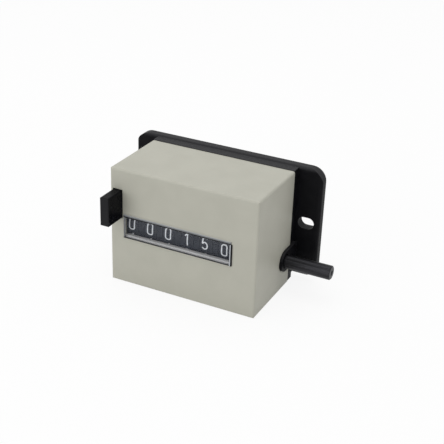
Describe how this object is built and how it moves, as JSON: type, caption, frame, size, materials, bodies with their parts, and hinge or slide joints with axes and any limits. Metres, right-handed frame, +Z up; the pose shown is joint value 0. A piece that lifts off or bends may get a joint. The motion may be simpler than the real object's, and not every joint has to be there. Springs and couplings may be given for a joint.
{
  "type": "mechanical panel counter",
  "caption": "Panel-mount mechanical counter: slotted flange, number wheels behind a window, a side drive shaft geared to them and a push key that sets them to zero.",
  "frame": {"origin": "middle of the flange's rear face, halfway between the two slots", "axes": "+X to the right seen from the front, along the drive shaft; +Y into the panel, so the front faces -Y; +Z up"},
  "size_m": [0.0814, 0.0439, 0.043],
  "materials": {
    "housing_plastic": "fine satin moulded",
    "lens": "clear polished",
    "base_plastic": "fine matt moulded",
    "key_plastic": "half gloss moulded",
    "shaft_steel": "blackened, drawn",
    "frame_steel": "zinc plated",
    "screw_steel": "plain",
    "brass": "cut",
    "wheel_plastic": "matt moulded",
    "pinion_plastic": "natural moulded"
  },
  "bodies": {
    "frame": {"housing": "housing_plastic", "window_lens": "lens", "base": "base_plastic", "key_stud": "frame_steel", "frame_plate_left": "frame_steel", "frame_plate_right": "frame_steel", "tie_bar_upper": "frame_steel", "tie_bar_lower": "frame_steel", "frame_screws": "screw_steel", "shaft_bush": "brass", "wheel_axle": "frame_steel", "pinion_axle": "frame_steel", "axle_rings": "screw_steel", "pinion_spacers": "frame_steel", "wheel_comb": "wheel_plastic", "reset_spring": "screw_steel"},
    "shaft": {"drive_shaft": "shaft_steel", "shaft_ring": "screw_steel", "drive_gear": "brass", "drive_gear_screw": "screw_steel"},
    "wheel_1": {"digit_wheel_1": "wheel_plastic", "units_gear": "brass"},
    "wheel_2": {"digit_wheel_2": "wheel_plastic"},
    "wheel_3": {"digit_wheel_3": "wheel_plastic"},
    "wheel_4": {"digit_wheel_4": "wheel_plastic"},
    "wheel_5": {"digit_wheel_5": "wheel_plastic"},
    "wheel_6": {"digit_wheel_6": "wheel_plastic"},
    "pinion_1": {"transfer_pinion_1": "pinion_plastic"},
    "pinion_2": {"transfer_pinion_2": "pinion_plastic"},
    "pinion_3": {"transfer_pinion_3": "pinion_plastic"},
    "pinion_4": {"transfer_pinion_4": "pinion_plastic"},
    "pinion_5": {"transfer_pinion_5": "pinion_plastic"},
    "key": {"reset_key": "key_plastic"},
    "rocker": {"reset_shaft": "frame_steel", "reset_hammers": "frame_steel", "reset_arm": "frame_steel"}
  },
  "joints": [
    {"name": "shaft_turn", "type": "hinge", "parent": "frame", "child": "shaft", "pos_m": [0.02, -0.01205, -0.01165], "axis": [1, 0, 0], "continuous": true},
    {"name": "wheel_1_turn", "type": "hinge", "parent": "frame", "child": "wheel_1", "pos_m": [0.01515, -0.02372, -0.00145], "axis": [1, 0, 0], "continuous": true},
    {"name": "wheel_2_turn", "type": "hinge", "parent": "frame", "child": "wheel_2", "pos_m": [0.00805, -0.02372, -0.00145], "axis": [1, 0, 0], "continuous": true},
    {"name": "wheel_3_turn", "type": "hinge", "parent": "frame", "child": "wheel_3", "pos_m": [0.00095, -0.02372, -0.00145], "axis": [1, 0, 0], "continuous": true},
    {"name": "wheel_4_turn", "type": "hinge", "parent": "frame", "child": "wheel_4", "pos_m": [-0.00615, -0.02372, -0.00145], "axis": [1, 0, 0], "continuous": true},
    {"name": "wheel_5_turn", "type": "hinge", "parent": "frame", "child": "wheel_5", "pos_m": [-0.01325, -0.02372, -0.00145], "axis": [1, 0, 0], "continuous": true},
    {"name": "wheel_6_turn", "type": "hinge", "parent": "frame", "child": "wheel_6", "pos_m": [-0.02035, -0.02372, -0.00145], "axis": [1, 0, 0], "continuous": true},
    {"name": "pinion_1_turn", "type": "hinge", "parent": "frame", "child": "pinion_1", "pos_m": [0.0116, -0.02372, -0.01332], "axis": [1, 0, 0], "continuous": true},
    {"name": "pinion_2_turn", "type": "hinge", "parent": "frame", "child": "pinion_2", "pos_m": [0.0045, -0.02372, -0.01332], "axis": [1, 0, 0], "continuous": true},
    {"name": "pinion_3_turn", "type": "hinge", "parent": "frame", "child": "pinion_3", "pos_m": [-0.0026, -0.02372, -0.01332], "axis": [1, 0, 0], "continuous": true},
    {"name": "pinion_4_turn", "type": "hinge", "parent": "frame", "child": "pinion_4", "pos_m": [-0.0097, -0.02372, -0.01332], "axis": [1, 0, 0], "continuous": true},
    {"name": "pinion_5_turn", "type": "hinge", "parent": "frame", "child": "pinion_5", "pos_m": [-0.0168, -0.02372, -0.01332], "axis": [1, 0, 0], "continuous": true},
    {"name": "key_press", "type": "slide", "parent": "frame", "child": "key", "axis": [0, 1, 0], "range_m": [0, 0.0035], "stiffness_N_per_m": 300, "springref_m": -0.001},
    {"name": "rocker_turn", "type": "hinge", "parent": "frame", "child": "rocker", "pos_m": [-0.002, -0.01169, -0.00019], "axis": [1, 0, 0], "range_deg": [0, 20], "deforming": ["reset_spring"]}
  ],
  "couplings": [
    {"joint": "wheel_1_turn", "follows": "shaft_turn", "ratio": -1},
    {"joint": "wheel_2_turn", "follows": "shaft_turn", "ratio": -0.1},
    {"joint": "wheel_3_turn", "follows": "shaft_turn", "ratio": -0.01},
    {"joint": "wheel_4_turn", "follows": "shaft_turn", "ratio": -0.001},
    {"joint": "wheel_5_turn", "follows": "shaft_turn", "ratio": -0.0001},
    {"joint": "wheel_6_turn", "follows": "shaft_turn", "ratio": -0.00001},
    {"joint": "pinion_1_turn", "follows": "shaft_turn", "ratio": 0.25},
    {"joint": "pinion_2_turn", "follows": "shaft_turn", "ratio": 0.025},
    {"joint": "pinion_3_turn", "follows": "shaft_turn", "ratio": 0.0025},
    {"joint": "pinion_4_turn", "follows": "shaft_turn", "ratio": 0.00025},
    {"joint": "pinion_5_turn", "follows": "shaft_turn", "ratio": 0.000025},
    {"joint": "rocker_turn", "follows": "key_press", "rad_per_m": 99.7}
  ]
}
